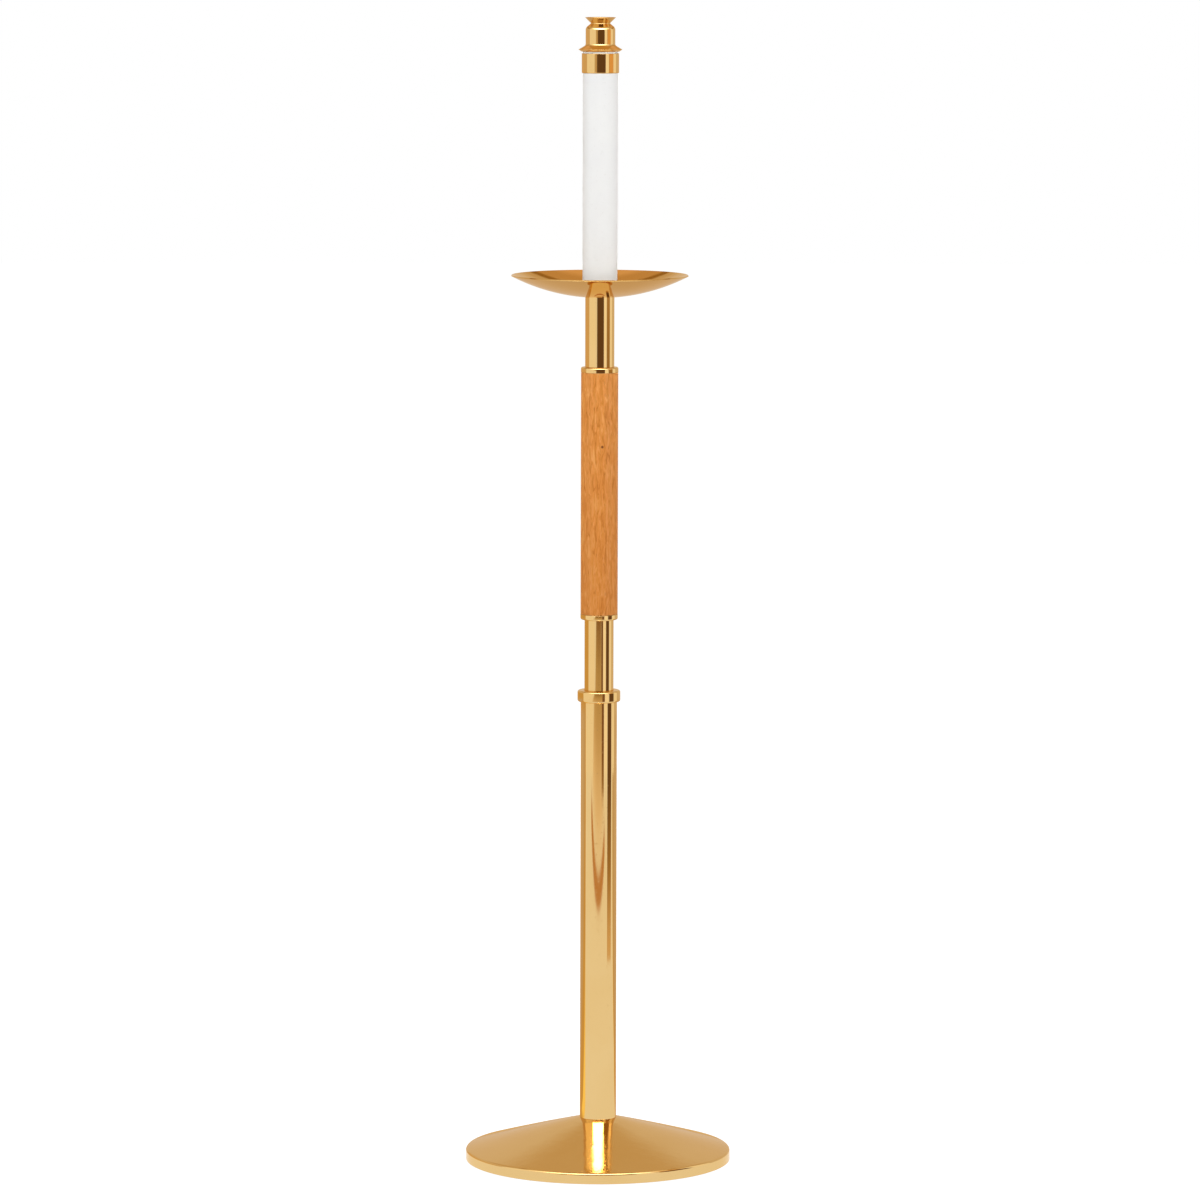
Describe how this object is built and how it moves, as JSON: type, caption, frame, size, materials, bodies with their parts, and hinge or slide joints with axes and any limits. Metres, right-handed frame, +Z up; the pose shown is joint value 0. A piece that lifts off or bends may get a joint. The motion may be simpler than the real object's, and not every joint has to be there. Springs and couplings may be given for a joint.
{
  "type": "processional torch",
  "caption": "Processional torch in a round weighted floor stand: lift-out brass shaft with wood grip, drip pan, white spring-fed candle tube and screw-on burner.",
  "frame": {"origin": "On the floor, under the axis of the stand.", "axes": "+Z is up along the axis; the part is round, and -Y faces the viewer of the picture."},
  "size_m": [0.244, 0.244, 1.052],
  "materials": {
    "polished_brass": "polished",
    "turned_brass": "turned",
    "zinc_steel": "zinc plated",
    "spring_steel": "drawn wire",
    "cast_iron": "painted casting",
    "felt": "felt",
    "cork_pad": "matt",
    "grip_wood": "satin varnish",
    "white_nylon": "satin",
    "white_fibre": "matt",
    "wax": "waxy",
    "cotton": "braided"
  },
  "bodies": {
    "stand": {"felt_ring": "felt", "ballast_weight": "cast_iron", "base_shell": "polished_brass", "base_washer": "zinc_steel", "base_bolt": "zinc_steel", "foot_plug": "turned_brass", "stand_tube": "polished_brass", "socket_floor": "turned_brass", "mouth_collar": "polished_brass"},
    "socket_pad": {"socket_pad": "cork_pad"},
    "torch": {"end_plug": "turned_brass", "tie_nut": "zinc_steel", "tie_washer": "zinc_steel", "tie_rod": "zinc_steel", "lower_tube": "polished_brass", "lower_ferrule": "polished_brass", "wood_grip": "grip_wood", "upper_ferrule": "polished_brass", "upper_tube": "polished_brass", "top_plug": "turned_brass", "drip_pan": "polished_brass", "candle_peg": "turned_brass"},
    "candle": {"candle_shell": "white_nylon", "shell_plug": "white_nylon", "feed_spring": "spring_steel", "shell_collar": "polished_brass"},
    "wax": {"pusher": "white_nylon", "wax_refill": "wax", "wick": "cotton"},
    "heat_washer": {"heat_washer": "white_fibre"},
    "burner": {"burner": "polished_brass"}
  },
  "joints": [
    {"name": "torch_turn", "type": "hinge", "parent": "stand", "child": "socket_pad", "pos_m": [0, 0, 0.238], "axis": [0, 0, 1], "continuous": true},
    {"name": "torch_lift", "type": "slide", "parent": "socket_pad", "child": "torch", "axis": [0, 0, 1], "range_m": [0, 0.2]},
    {"name": "candle_lift", "type": "slide", "parent": "torch", "child": "candle", "axis": [0, 0, 1], "range_m": [0, 0.045]},
    {"name": "wax_press", "type": "slide", "parent": "candle", "child": "wax", "axis": [0, 0, 1], "range_m": [-0.015, 0], "stiffness_N_per_m": 100, "springref_m": 0.12, "deforming": ["feed_spring"]},
    {"name": "burner_rise", "type": "slide", "parent": "candle", "child": "heat_washer", "axis": [0, 0, 1], "range_m": [0, 0.009]},
    {"name": "burner_turn", "type": "hinge", "parent": "heat_washer", "child": "burner", "pos_m": [0, 0, 1.0209], "axis": [0, 0, 1], "range_deg": [0, 2165]}
  ],
  "couplings": [
    {"joint": "burner_turn", "follows": "burner_rise", "rad_per_m": 4188.8}
  ]
}
